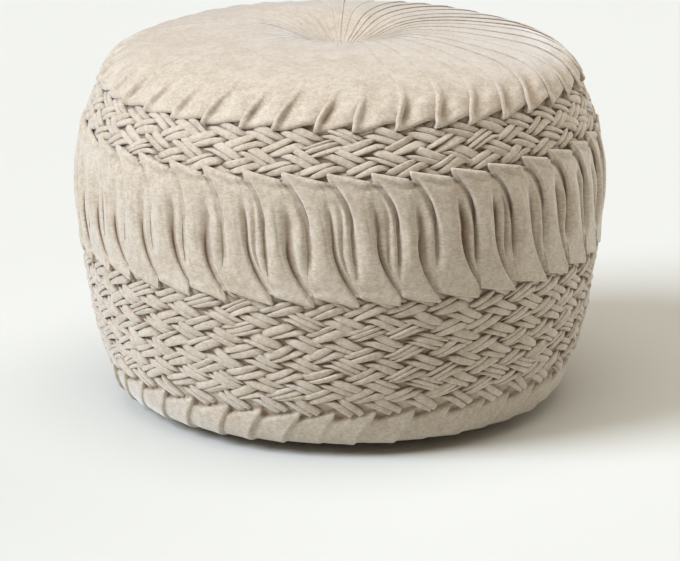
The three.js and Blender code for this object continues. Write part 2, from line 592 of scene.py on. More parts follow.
@dataclass(frozen=True)
class PlainClothFinish(Finish):
    """Matt plain-woven cloth.

    Args:
        warp: Colour of the threads one way.
        weft: Colour of the threads the other way.
        thread: Distance from one thread to the next.
        slubs: Thick places in the thread in each metre.
        slub_share: How much they count beside the weave.
        tone_span: Where the weave turns from warp to weft.
        relief: Height of the weave.
        relief_strength: The share of it that shows.
    """

    name: str = "base_cloth"
    roughness: float = 0.95
    specular: float = 0.1
    warp: Colour = (0.36, 0.29, 0.21)
    weft: Colour = (0.50, 0.42, 0.32)
    thread: float = 0.9 * MM
    slubs: float = 90.0
    slub_share: float = 0.5
    tone_span: Span = (0.2, 0.7)
    relief: float = 0.3 * MM
    relief_strength: float = 0.4

    def paint(self, recipe: "Recipe", place: Socket) -> Feed:
        """Adds the nodes of the weave.

        Args:
            recipe: The material in the making.
            place: The object's own coordinates.

        Returns:
            What the nodes feed to the surface.
        """
        lengthways, crossways = [recipe.wave(place, 1 / self.thread, way) for way in "XY"]
        weave = recipe.product(lengthways, crossways)
        slubs = recipe.noise(place, self.slubs, detail=3, roughness=0.6)
        mixed = recipe.blend(weave, slubs, self.slub_share)
        return {
            "Base Color": recipe.ramp(mixed, self.tone_span, (self.warp, self.weft)),
            "Normal": recipe.bump(weave, self.relief_strength, self.relief),
        }


@dataclass(frozen=True)
class FloorFinish(Finish):
    """Pale matt studio floor.

    Args:
        tone: Its colour.
        dimmed: The share of its brightness that its dimmer patches have.
        patches: Patches in each metre.
        patch_span: Where the dimmer patches end and the others start.
    """

    name: str = "studio_floor"
    roughness: float = 0.9
    specular: float = 0.1
    tone: Colour = (0.66, 0.67, 0.635)
    dimmed: float = 0.985
    patches: float = 0.8
    patch_span: Span = (0.3, 0.7)

    def paint(self, recipe: "Recipe", place: Socket) -> Feed:
        """Adds the nodes of the floor's faint patches.

        Args:
            recipe: The material in the making.
            place: The object's own coordinates.

        Returns:
            What the nodes feed to the surface.
        """
        cloud = recipe.noise(place, self.patches, detail=2, roughness=0.5)
        dim = tuple(self.dimmed * part for part in self.tone)
        return {"Base Color": recipe.ramp(cloud, self.patch_span, (dim, self.tone))}


class Recipe:
    """A node material while it is being put together."""

    def __init__(self, name: str) -> None:
        """Starts a material with its surface shader.

        Args:
            name: The material's name.
        """
        self.material = bpy.data.materials.new(name)
        self.material.use_nodes = True
        self.tree = self.material.node_tree
        self.surface = self.tree.nodes["Principled BSDF"]

    def feed(self, node: bpy.types.Node, inputs: Feed) -> None:
        """Links or sets the inputs of a node.

        Args:
            node: The node.
            inputs: What each input gets, another node's output or a plain value.
        """
        for key, value in inputs.items():
            if isinstance(value, Socket):
                self.tree.links.new(value, node.inputs[key])
            else:
                node.inputs[key].default_value = value

    def add(self, kind: str, output: str | int, inputs: Feed, **settings: object) -> Socket:
        """Adds a node.

        Args:
            kind: The node's type.
            output: The name or number of the output that is wanted.
            inputs: What each of its inputs gets.
            **settings: Its properties by name.

        Returns:
            The wanted output.
        """
        node = self.tree.nodes.new(kind)
        for key, value in settings.items():
            setattr(node, key, value)
        self.feed(node, inputs)
        return node.outputs[output]

    def noise(self, place: Socket, scale: float, detail: float, roughness: float) -> Socket:
        """Adds a noise texture and gives its value."""
        inputs = {"Vector": place, "Scale": scale, "Detail": detail, "Roughness": roughness}
        return self.add("ShaderNodeTexNoise", "Fac", inputs)

    def wave(self, place: Socket, scale: float, way: str) -> Socket:
        """Adds even bands across one axis, so many in a metre, and gives their value."""
        inputs = {"Vector": place, "Scale": scale * math.pi / 10}
        return self.add("ShaderNodeTexWave", "Fac", inputs, bands_direction=way)

    def stretch(self, place: Socket, scale: tuple[float, float, float]) -> Socket:
        """Scales coordinates by a different amount along each axis."""
        return self.add("ShaderNodeMapping", "Vector", {"Vector": place, "Scale": scale})

    def product(self, first: Socket, second: Socket) -> Socket:
        """Multiplies two values."""
        return self.add("ShaderNodeMath", 0, {0: first, 1: second}, operation="MULTIPLY")

    def blend(self, first: Socket, second: Socket, share: float) -> Socket:
        """Blends two values, the second by its share."""
        return self.add("ShaderNodeMix", 0, {0: share, 2: first, 3: second}, data_type="FLOAT")

    def multiply(self, first: Socket, second: Socket) -> Socket:
        """Multiplies two colours."""
        inputs = {0: 1.0, 6: first, 7: second}
        return self.add("ShaderNodeMix", 2, inputs, data_type="RGBA", blend_type="MULTIPLY")

    def bump(self, height: Socket, strength: float, distance: float) -> Socket:
        """Raises the surface by a value and gives its slopes."""
        inputs = {"Height": height, "Strength": strength, "Distance": distance}
        return self.add("ShaderNodeBump", "Normal", inputs)

    def ramp(self, value: Socket, span: Span, colours: tuple[Colour, Colour]) -> Socket:
        """Turns a value into a colour.

        Args:
            value: The value to read.
            span: Where the first colour ends and the second one is reached.
            colours: The two colours.

        Returns:
            The colour.
        """
        colour = self.add("ShaderNodeValToRGB", "Color", {"Fac": value})
        for element, place, tone in zip(colour.node.color_ramp.elements, span, colours):
            element.position = place
            element.color = (*tone, 1.0)
        return colour


@dataclass
class SewnPiece(ABC):
    """A piece of the pouf that is cut and sewn.

    Args:
        name: The piece's name.
        material: What it is made of.
    """

    name: str
    material: bpy.types.Material

    @abstractmethod
    def shape(self) -> Piece:
        """Shapes the piece."""

    def build(self) -> Piece:
        """Shapes the piece and dresses it in its material.

        Returns:
            The finished piece.
        """
        piece = self.shape()
        piece.data.materials.clear()
        piece.data.materials.append(self.material)
        return piece


@dataclass(frozen=True)
class PleatPoint:
    """One point across a knife pleat, at the lip and further up.

    Args:
        near: Millimetres right of the ridge's edge, at the lip.
        share: The same as a share of the repeat, added to it.
        lift: Millimetres proud of the outline, at the lip.
        far_near: Ridge heights right of the edge, further up.
        far_share: The same as a share of the repeat, added to it.
        far_lift: Ridge heights proud of the outline, further up.
        climb: The share of the scallop's rise that it has.
        hollow: How much of the dent above the lip it has.
        shade: How much painted shade it gets just above the lip.
    """

    near: float
    share: float
    lift: float
    far_near: float
    far_share: float
    far_lift: float
    climb: float
    hollow: float
    shade: float = 0.0


PLEAT = (
    PleatPoint(3.0, 0.0, 0.6, 1.2, 0.0, 0.05, 0.95, -0.2, 0.3),
    PleatPoint(1.0, 0.0, 1.2, 0.5, 0.0, 0.15, 0.55, -0.2, 0.2),
    PleatPoint(-0.5, 0.0, 2.1, -0.1, 0.0, 0.35, 0.15, -0.1),
    PleatPoint(-0.7, 0.0, 3.2, -0.1, 0.0, 0.65, 0.02, 0.0),
    PleatPoint(0.1, 0.0, 4.0, 0.3, 0.0, 0.9, 0.0, 0.0),
    PleatPoint(1.8, 0.0, 4.4, 1.4, 0.0, 1.0, 0.02, 0.0),
    PleatPoint(3.8, 0.0, 3.5, 3.2, 0.0, 0.93, 0.06, 0.4),
    PleatPoint(5.9, 0.0, 1.0, 0.0, 0.22, 0.82, 0.14, 1.0, 0.45),
    PleatPoint(10.0, 0.0, -0.2, 0.0, 0.34, 0.62, 0.22, 0.9, 0.1),
    PleatPoint(0.0, 0.44, 0.6, 0.0, 0.5, 0.42, 0.40, 0.4),
    PleatPoint(0.0, 0.66, 2.1, 0.0, 0.7, 0.24, 0.68, -0.3),
    PleatPoint(0.0, 0.88, 2.4, 0.0, 0.88, 0.1, 0.92, -0.3),
)


@dataclass
class Crown(SewnPiece):
    """The pleated top: knife pleats drawn into the dimple, ending in a scalloped lip."""

    drum: Drum
    seed: int = 11
    inner_reach: float = 60 * MM
    climb_reach: float = 45 * MM
    row_counts: tuple[int, int, int] = (12, 14, 15)
    least_girth: float = 0.2 * MM
    bold_span: Span = (4.0, 58.0)
    phase: float = 0.38
    swing: Course = Course((0, 10, 30, 50, 70), (0.0, 0.06, 0.30, 0.41, 0.42))
    wander: float = 0.07
    wander_from: float = 20.0
    apart: Span = (-0.03, 0.03)
    roam: Span = (-0.13, 0.13)
    rise: float = 9 * MM
    ridge: Course = Course((0, 12, 60, 150, 220, 249), (0.0, 0.5, 0.8, 1.1, 1.7, 2.4))
    uneven: Span = (0.7, 1.25)
    faint: Span = (0.45, 1.5)
    even_lift: float = 1.4
    slack: Stretch = Stretch(0.45, -6.5, 0.36)
    smooth_top: Stretch = Stretch(0.78, -3.0, 0.5)
    hollow: float = 2.9 * MM
    hollow_above: float = 17.0
    hollow_reach: float = 11.0
    hollowed: Span = (0.35, 1.3)
    rim: float = 0.8 * MM
    rim_above: float = 2.0
    rim_reach: float = 3.0
    pucker: float = 1.0 * MM
    pucker_above: float = 8.0
    pucker_reach: float = 3.5
    # Where the painted shade in the hollows above the lip starts and fades, in mm above it.
    brown_from: Span = (1.0, 5.0)
    brown_to: Span = (10.0, 34.0)
    # The lift at which painted crease shade is at its darkest.
    deepest: float = -7 * MM
    roll: tuple[Span, ...] = ((1.3, 0.9), (2.0, 2.4), (1.6, 4.2), (-0.6, 6.2), (-4, 7.5))

    def rows(self, lip: float) -> np.ndarray:
        """Spaces the rows, closer together towards the lip.

        Args:
            lip: The arc of the lip.

        Returns:
            The arc of each row.
        """
        stops = (0.0, self.inner_reach, lip - self.climb_reach, lip)
        parts = zip(stops, stops[1:], self.row_counts)
        spaced = [np.linspace(low, high, count, endpoint=False) for low, high, count in parts]
        return np.append(np.concatenate(spaced), lip)

    def shape(self) -> Piece:
        """Shapes the crown.

        Returns:
            The crown's object.
        """
        lip = self.drum.arc_of("crown_lip")
        base = self.rows(lip)[:, None, None]
        above = (lip - base) / MM
        point = columns_of([vars(row) for row in PLEAT])
        work = Handwork(self.seed)
        uneven = work.each(self.uneven)
        apart = work.each(self.apart)
        faint = work.each(self.faint)
        roam = work.each(self.roam)
        hollowed = work.each(self.hollowed)
        slack = self.slack.less_within()
        bold = 1 - ease(above, *self.bold_span)

        ridge = self.ridge.at(base / MM) * MM
        near_lift = (self.even_lift + (point["lift"] - self.even_lift) * slack) * MM
        far_lift = point["far_lift"] * ridge * faint * self.smooth_top.less_within()
        dent = bell(above, self.hollow_above, self.hollow_reach)
        leaf = self.rim * bell(above, self.rim_above, self.rim_reach)
        leaf = leaf - self.pucker * bell(above, self.pucker_above, self.pucker_reach)
        lift = mix(far_lift, near_lift, bold)
        lift = lift - self.hollow * dent * point["hollow"] * slack * hollowed
        lift = lift + leaf * 4 * point["climb"] * (1 - point["climb"])

        girth = np.maximum(self.drum.girth(base), self.least_girth)
        near = point["near"] * MM / girth + point["share"]
        far = point["far_near"] * ridge / girth + point["far_share"]
        stray = self.wander * work.wander(EACH, base) + apart + roam * (1 - bold)
        stray = stray * ease(base / MM, 0, self.wander_from)
        turns = EACH + self.phase + self.swing.at(above) + stray + mix(far, near, bold)

        climb = point["climb"] * self.rise * slack * ease(base, lip - self.climb_reach, lip)
        # Painted shade in the dents just above the lip.
        painted_hollow = ease(above, *self.brown_from) * (1 - ease(above, *self.brown_to)) * hollowed
        cloth = Cloth.laid(base - climb, turns, lift * uneven, painted_hollow * point["shade"])
        return cloth.rolled(self.roll, 1).wrap(self.name, self.drum, self.deepest)


class Lean(Enum):
    """Which way the strips of a smocked row lean, seen from outside."""

    BACK = -1
    FORWARD = 1

    def other(self) -> "Lean":
        """Gives the lean of the next row."""
        return Lean.FORWARD if self is Lean.BACK else Lean.BACK


@dataclass(frozen=True)
class Fold:
    """One of the narrow folds that lie side by side in a smocked strip, in millimetres.

    Args:
        width: Its share of the strip's width.
        shift: How far it lies to the right along the strip.
        half: Half its length.
        left_bend: How far its left end turns level, from 0 to 1.
        right_bend: The same for its right end.
        left_blunt: How long its left end keeps its width.
        right_blunt: The same for its right end.
        top: Its lift in the middle.
    """

    width: float
    shift: float
    half: float
    left_bend: float
    right_bend: float
    left_blunt: float
    right_blunt: float
    top: float


FOLDS = {
    Lean.BACK: (
        Fold(5.8, 2.6, 20.5, 0.0, 0.4, 6.0, 2.4, -0.3),
        Fold(5.4, 0.0, 21.0, 0.3, 0.1, 4.0, 4.0, 0.5),
        Fold(5.2, -2.8, 21.5, 0.9, 0.0, 2.0, 6.0, -0.2),
    ),
    Lean.FORWARD: (
        Fold(5.2, -2.6, 20.5, 0.3, 0.0, 6.0, 2.4, -0.3),
        Fold(5.4, 0.0, 21.0, 0.0, 0.3, 4.0, 4.0, 0.5),
        Fold(5.8, 2.8, 21.5, 0.0, 0.9, 2.0, 6.0, -0.2),
    ),
}

FOLD_SECTION = (
    (-1.05, -4.2),
    (-0.99, -1.0),
    (-0.84, -0.15),
    (-0.25, 0.0),
    (0.48, -0.1),
    (0.93, -0.85),
    (1.05, -4.2),
)


@dataclass(frozen=True)
class StripEnd:
    """How one end of a strip goes under its neighbours.

    Args:
        slope: How much of the band's slope leads down to it.
        dive: How much of the band's dive it makes.
        dive_from: Where the dive starts, as a share of half the strip.
        tip: The share of the width that is left at its tip.
    """

    slope: float
    dive: float
    dive_from: float
    tip: float


TUCKED_END = StripEnd(1.0, 1.0, 0.68, 0.12)
LOOSE_END = StripEnd(0.15, 1.7, 0.84, 0.72)


@dataclass
class SmockedBand(SewnPiece):
    """A band of herringbone strips, each strip diving under the sides of its neighbours."""

    drum: Drum
    first: Lean
    rows: int
    first_arc: float
    pitch: float
    phases: dict[Lean, float]
    seed: int
    start: str
    end: str
    lean: float = math.radians(24)
    lean_stray: float = math.radians(4.5)
    strip: float = 13.0 * MM
    strip_stray: float = 0.07
    pair_share: float = 0.7
    lap_limit: float = 0.3
    wander: float = 0.06
    turn_stray: float = 0.05
    arc_stray: float = 0.9 * MM
    fan: float = 0.06
    fan_stray: float = 0.20
    bow_stray: float = 1.5 * MM
    bow_level: float = 0.3
    tucked: tuple[int, ...] = (0,)
    tucked_room: float = 1.25
    tuck: float = 2.2 * MM
    loose_end: bool = False
    loose_lean: float = math.radians(10)
    loose_lift: float = 0.8 * MM
    loose_blunt: float = 9.0
    loose_length: float = 0.84
    fold_widths: Span = (0.62, 1.38)
    fold_lean_stray: float = math.radians(2.4)
    fold_shift_stray: float = 1.5 * MM
    fold_reach_stray: float = 0.9 * MM
    fold_bend_stray: float = 0.4
    fold_top_stray: float = 0.55 * MM
    fold_tilt: float = 0.9 * MM
    slope: float = 1.5 * MM
    slope_span: Span = (0.25, 0.7)
    dive: float = 3.6 * MM
    bend_start: float = 7.0 * MM
    bend_softness: float = 2.5 * MM
    tip_gather: float = 0.4
    tip_flatness: float = 0.55
    # Painted shade on the folds' sunken sides and ends, and on the backing.
    shade_from: float = 0.4 * MM
    shade_reach: float = 3.8 * MM
    backing_lift: float = -4.6 * MM
    backing_shade: float = 0.65
    backing_overlap: float = 12 * MM
    steps: int = 8
    crowding: float = 0.65

    def fold_table(self) -> dict[str, np.ndarray]:
        """Lists every fold of the band with its own stray sizes.

        Returns:
            One array for each named size, in metres, radians or repeats.
        """
        work = Handwork(self.seed)
        rows: list[dict[str, float]] = []
        lean = self.first
        for row in range(self.rows):
            loose = self.loose_end and row == self.rows - 1
            tucked = row in self.tucked
            end = LOOSE_END if loose else TUCKED_END
            arc = self.first_arc + row * self.pitch
            for repeat in range(REPEATS):
                wander = float(Handwork.wander(np.array(repeat), np.array(arc)))
                stray = work.draw(7)
                pair = work.draw(1, (0.0, 1.0))[0] < self.pair_share
                folds = FOLDS[lean][::2] if pair else FOLDS[lean]
                turn = repeat + self.phases[lean] + self.wander * wander
                strip = {
                    "turn": turn + self.turn_stray * stray[0],
                    "arc": arc + self.arc_stray * stray[1],
                    "fan": self.fan * lean.value + self.fan_stray * stray[2],
                    "bow": self.bow_stray * stray[3],
                    "lap": 1 if stray[4] < self.lap_limit else -1,
                    "tuck": self.tuck if tucked else 0.0,
                    **{"right_" + key: value for key, value in vars(end).items()},
                }
                steeper = self.loose_lean if loose else 0.0
                lean_here = lean.value * (self.lean + steeper + self.lean_stray * stray[5])
                room = self.strip * (1 + self.strip_stray * stray[6])
                room *= self.tucked_room if tucked else 1.0
                strip_rows = self.strip_folds(work, folds, strip, lean_here, room)
                if loose:
                    for fold in strip_rows:
                        fold.update(right_bend=0.0, right_blunt=self.loose_blunt)
                        fold["reach"] *= self.loose_length
                        fold["top"] += self.loose_lift
                rows += strip_rows
            lean = lean.other()
        return columns_of(rows)

    def strip_folds(
        self,
        work: Handwork,
        folds: tuple[Fold, ...],
        strip: dict[str, float],
        lean: float,
        room: float,
    ) -> list[dict[str, float]]:
        """Fits the folds of one strip side by side.

        Args:
            work: The source of stray amounts.
            folds: The folds, from the strip's upper side down.
            strip: The sizes that all the strip's folds share.
            lean: The strip's lean.
            room: The strip's width.

        Returns:
            The named sizes of each fold.
        """
        widths = np.array([fold.width for fold in folds])
        widths = widths * work.draw(len(folds), self.fold_widths)
        widths *= room / widths.sum()
        middles = room / 2 - np.cumsum(widths) + widths / 2
        table = []
        for fold, width, middle in zip(folds, widths, middles):
            stray = work.draw(6)
            bend = 1 + self.fold_bend_stray * stray[3]
            sizes = {
                "lean": lean + self.fold_lean_stray * stray[1],
                "aside": middle,
                "shift": fold.shift * MM + self.fold_shift_stray * stray[2],
                "width": width,
                "reach": fold.half * MM + self.fold_reach_stray * stray[0],
                "left_bend": fold.left_bend * bend,
                "right_bend": fold.right_bend * bend,
                "left_blunt": fold.left_blunt,
                "right_blunt": fold.right_blunt,
                "top": fold.top * MM + self.fold_top_stray * stray[4] - strip["tuck"],
                "tilt": self.fold_tilt * stray[5],
            }
            table.append({**strip, **sizes})
        return table

    def patches(self, count: int) -> Piece:
        """Makes one small flat patch and copies it for each fold.

        Args:
            count: The number of folds.

        Returns:
            The patches, all in one mesh.
        """
        piece = Shaper.grid(self.name, self.steps, len(FOLD_SECTION) - 1)
        array = piece.modifiers.new("folds", "ARRAY")
        array.count = count
        array.use_relative_offset = False
        array.use_constant_offset = True
        array.constant_offset_displace = (2.0, 0.0, 0.0)
        bpy.ops.object.modifier_apply(modifier=array.name)
        return piece

    def folds(self) -> Piece:
        """Builds all the folds as one mesh of small patches.

        Returns:
            The folds' object.
        """
        table = self.fold_table()
        count = len(table["turn"])
        piece = self.patches(count)
        per_fold = len(piece.data.vertices) // count
        last = len(FOLD_SECTION) - 1
        flat = Shaper.points(piece)[:per_fold]
        even = np.tile(flat[:, 0] * 2, count)
        along = np.sign(even) * np.abs(even) ** self.crowding
        across = np.tile(np.rint((flat[:, 1] + 0.5) * last).astype(int), count)
        fold = {key: np.repeat(value, per_fold) for key, value in table.items()}
        sides, drops = np.array(FOLD_SECTION).T
        lapped = np.where(fold["lap"] > 0, across, last - across)
        side_share = sides[lapped] * fold["lap"]
        on_left = along < 0
        out = np.abs(along)
        end = {
            key: np.where(on_left, value, fold["right_" + key])
            for key, value in vars(TUCKED_END).items()
        }

        blunt = np.where(on_left, fold["left_blunt"], fold["right_blunt"])
        taper = mix(end["tip"], 1.0, 1 - out**blunt)
        distance = along * fold["reach"]
        left = np.minimum(soften(distance + self.bend_start, self.bend_softness, -1), 0)
        right = np.maximum(soften(distance - self.bend_start, self.bend_softness, 1), 0)
        bend = -np.tan(fold["lean"]) * (fold["left_bend"] * left + fold["right_bend"] * right)
        spread = 1 + fold["fan"] * along
        bow = fold["bow"] * (along**2 - self.bow_level)
        side = side_share * fold["width"] / 2 * taper * spread
        gathered = fold["aside"] * mix(self.tip_gather, 1.0, taper) * spread
        level = distance + fold["shift"]
        above = gathered + bend + side + bow
        right_of = level * np.cos(fold["lean"]) - above * np.sin(fold["lean"])
        arc = fold["arc"] - level * np.sin(fold["lean"]) - above * np.cos(fold["lean"])
        girth = self.drum.girth(fold["arc"])
        turns = fold["turn"] + right_of / girth

        edge = drops[lapped] * MM * mix(self.tip_flatness, 1.0, taper)
        slope = self.slope * end["slope"] * ease(out, *self.slope_span)
        dive = self.dive * end["dive"] * ease(out, end["dive_from"], 1.0)
        local = edge - slope - dive + fold["tilt"] * side_share
        points = self.drum.place(arc, turns, fold["top"] + local)
        cloth = np.stack([turns * girth, -arc], axis=-1)
        # Painted shade: the folds darken where they sink.
        Shaper.dress(piece, points, cloth, (-local - self.shade_from) / self.shade_reach)
        Shaper.settle()
        piece.select_set(True)
        bpy.ops.object.shade_smooth()
        return piece

    def backing(self) -> Piece:
        """Builds the cloth behind the strips, darkened with painted shade.

        Returns:
            The backing's object.
        """
        first = self.drum.arc_of(self.start) - self.backing_overlap
        last = self.drum.arc_of(self.end) + self.backing_overlap
        arc = np.linspace(first, last, 4 + 2 * self.rows)[:, None, None]
        turns = EACH + np.arange(4) / 4
        cloth = Cloth.laid(arc, turns, np.array(self.backing_lift), np.array(0.0))
        # Painted shade: the backing is darkened evenly.
        deepest = self.backing_lift / self.backing_shade
        return cloth.wrap(self.name + "_backing", self.drum, deepest, spans=1)

    def shape(self) -> Piece:
        """Shapes the band, its folds and their backing in one."""
        return Shaper.join([self.folds(), self.backing()])


@dataclass(frozen=True)
class RolledPoint:
    """One point of a panel's rolled edge, on its way down into the valley.

    Args:
        soft: How far out it lies where the edge is soft, as a share of the soft reach.
        bold: The same where the edge is bold, below 0 where it is back under the panel.
        rise: The share of the panel's height over the valley that it has.
    """

    soft: float
    bold: float
    rise: float


ROLLED_EDGE = (
    RolledPoint(0.2, 0.6, 0.80),
    RolledPoint(0.45, 0.5, 0.46),
    RolledPoint(0.7, -1.0, 0.16),
    RolledPoint(1.0, -3.0, 0.02),
)


@dataclass(frozen=True)
class ValleyFold:
    """The small fold that stands in the valley between two panels.

    Args:
        ridge: How high its middle is, as a share of both its sides.
        skirt: How high its feet are, as a share of one side.
        soft: How much of the valley a panel's soft edge takes up.
        aside: How far its sides are from its middle, as a share of the valley.
    """

    ridge: float
    skirt: float
    soft: float
    aside: float


SINGLE_FOLD = ValleyFold(0.6, 0.3, 0.26, 0.105)
TWIN_FOLD = ValleyFold(0.12, 0.5, 0.2, 0.135)


@dataclass(frozen=True)
class PanelRows:
    """The rows of the waist's panels, each size by row and repeat.

    Args:
        down: How far each row lies below the upper band.
        up: How far it lies above the lower band.
        fold: Where the folds lie, in repeats from the panel's own.
        edge: Where the edges lie, counted likewise.
        keep: How bold the folds are, from 0 to 1.
        hold: The same for the edges.
    """

    down: np.ndarray
    up: np.ndarray
    fold: np.ndarray
    edge: np.ndarray
    keep: np.ndarray
    hold: np.ndarray


@dataclass
class Waist(SewnPiece):
    """The plain stretch between the bands: panels with a fold on each side, and valleys.

    A panel's left side is its fold and its right side is its edge. The fold is bold at the
    upper band and soft below, and the edge is soft above and bold at the lower band.
    """

    FOLD_SIDE = slice(0, 5)
    # Points beside the fold that get a painted shade line.
    FOLD_LINE = slice(1, 4)
    BEFORE_EDGE = slice(0, 10)
    EDGE_SIDE = slice(10, 15)
    # Points beside the edge that get a painted shade line.
    EDGE_LINE = slice(12, 15)

    drum: Drum
    seed: int = 23
    phase: float = 0.47
    height: float = 113 * MM
    row_count: int = 40
    crowding: float = 0.065
    top_start: float = -2 * MM
    foot_start: float = 7 * MM
    top_fall: float = 8 * MM
    top_run: float = 1.1
    foot_fall: float = 9 * MM
    fold: Course = Course(
        (0, 6, 12, 23, 37, 55, 77, 118), (-0.78, -0.60, -0.45, -0.29, -0.16, -0.06, -0.01, 0.04)
    )
    edge: Course = Course(
        (0, 22, 43, 61, 73, 86, 98, 107, 118), (0.0, 0.13, 0.22, 0.28, 0.36, 0.5, 0.68, 0.84, 1.05)
    )
    wander: float = 0.05
    fold_stray: Span = (-0.05, 0.05)
    edge_stray: Span = (-0.08, 0.08)
    least_gap: float = 0.10
    loosened: float = 0.93
    fold_bold: Span = (24.0, 54.0)
    edge_bold: Span = (26.0, 64.0)
    bold_stray: Span = (0.7, 1.2)
    valley_span: Span = (10.0, 44.0)
    valley_stray: Span = (-3.0, 6.0)
    slack: Stretch = Stretch(0.7, -7.0, 0.22)
    rest: float = 1.2 * MM
    under: float = -2.2 * MM
    under_slack: float = 0.3
    sink: float = 4.8 * MM
    sink_stray: Span = (0.75, 1.25)
    fold_side: float = 0.82
    fold_side_slack: float = 0.9
    swell: float = 0.8 * MM
    bulge: float = 1.2 * MM
    bulge_even: float = 0.3
    bulge_stray: Span = (0.4, 1.2)
    fold_full: float = 0.5
    edge_full: float = 0.3
    crest: float = 0.7 * MM
    flute_even: float = 0.9
    flute_waves: float = 0.1
    flute_length: float = 9.0
    flute_turn: float = 3.0
    flute_stray: Span = (0.6, 1.3)
    flute_side: float = 0.9
    flute_spread: tuple[float, ...] = (0.2, 0.35, 0.5, 0.65, 0.8)
    twin_share: float = 0.3
    middle: float = 0.62
    middle_stray: Span = (-0.06, 0.06)
    middle_span: Span = (0.33, 0.67)
    soft_reach: float = 7.0 * MM
    roll_foot: float = 1.3
    roll_brim: float = 0.6
    roll_near: float = 3.0
    near_share: float = 0.2
    inside: Span = (0.36, 0.66)
    fold_run: tuple[float, ...] = (1.02, 1.02, 0.75, 0.3, 0.08)
    edge_run: tuple[float, ...] = (1.0, 0.97, 0.75, 0.4, 0.12)
    # Painted shade: thin dark lines along the bold folds and edges.
    line_shade: float = 0.45
    line_span: Span = (5.0, 18.0)
    foot_softness: float = 0.45
    scallop_from: float = 1.5
    scallop_depth: float = 6.0
    scallop_span: Span = (0.03, 0.3)
    rim: float = 1.1 * MM
    rim_back: float = 0.5
    rim_reach: float = 3.0
    pucker: float = 1.5 * MM
    pucker_on: float = 1.5
    pucker_reach: float = 2.4
    # The lift at which painted crease shade is at its darkest.
    deepest: float = -5.5 * MM
    roll: tuple[Span, ...] = ((1.0, 0.8), (1.6, 2.2), (1.2, 4.0), (-0.8, 6.0))

    def panels(self, down: np.ndarray, work: Handwork) -> PanelRows:
        """Draws the two lines that bound each panel.

        Args:
            down: How far each row lies below the upper band.
            work: The source of stray amounts.

        Returns:
            The rows of panels.
        """
        up = self.height / MM - down
        sway = self.wander * work.wander(EACH, down * MM)
        fold = self.fold.at(down) + sway + work.each(self.fold_stray)
        edge = self.edge.at(down) + sway + work.each(self.edge_stray)
        edge = np.minimum(edge, np.roll(fold, -1, axis=1) + 1 - self.least_gap)
        keep = 1 - self.loosened * ease(down, *self.fold_bold)
        hold = 1 - self.loosened * ease(up, *self.edge_bold)
        return PanelRows(down, up, fold, edge, keep, hold)

    def heights(
        self, rows: PanelRows, work: Handwork
    ) -> tuple[np.ndarray, dict[str, np.ndarray]]:
        """Works out the lift of each point across a panel and the valley after it.

        Args:
            rows: The rows of panels.
            work: The source of stray amounts.

        Returns:
            The lifts, and the named sizes of the small fold in each valley.
        """
        fold_bold = rows.keep * work.each(self.bold_stray)
        edge_bold = rows.hold * work.each(self.bold_stray)
        valley_from, valley_to = self.valley_span
        begin = ease(rows.down, valley_from + work.each(self.valley_stray), valley_to)
        finish = ease(rows.up, valley_from + work.each(self.valley_stray), valley_to)
        valley = begin * finish

        slack = self.slack.less_within()
        under = self.under * mix(self.under_slack, 1.0, slack)
        depth = -self.sink * valley * slack * work.each(self.sink_stray)
        fold_depth = depth * (self.fold_side - self.fold_side_slack * (1 - slack))
        fold_floor = fold_depth + (1 - begin) * under + (1 - finish) * self.rest
        edge_floor = depth + (1 - begin) * self.rest + (1 - finish) * under
        before = np.roll(fold_floor, 1, axis=1)

        panel = self.rest + self.swell * valley
        full = panel + self.bulge * (self.bulge_even + valley) * work.each(self.bulge_stray)
        top = panel + self.crest * fold_bold
        brim = panel + self.crest * edge_bold
        wave = np.sin(rows.down / self.flute_length + self.flute_turn * EACH)
        flute = self.sink * valley * slack * (self.flute_even + self.flute_waves * wave)
        left = flute * work.each(self.flute_stray)
        right = flute * work.each(self.flute_stray)
        twin = np.where(work.each((0.0, 1.0)) < self.twin_share, 1.0, 0.0)
        single, double = vars(SINGLE_FOLD), vars(TWIN_FOLD)
        kind = {key: mix(single[key], double[key], twin) for key in single}
        flutes = (
            kind["skirt"] * left,
            self.flute_side * left,
            kind["ridge"] * (left + right),
            self.flute_side * right,
            kind["skirt"] * right,
        )
        lifts = [
            before,
            *[before + point.rise * (top - before) for point in reversed(ROLLED_EDGE)],
            top,
            mix(top, full, self.fold_full),
            full,
            full,
            mix(brim, full, self.edge_full),
            brim,
            *[edge_floor + point.rise * (brim - edge_floor) for point in ROLLED_EDGE],
            *[
                mix(edge_floor, fold_floor, share) + height
                for share, height in zip(self.flute_spread, flutes)
            ],
        ]
        return np.concatenate(np.broadcast_arrays(*lifts), axis=-1), kind

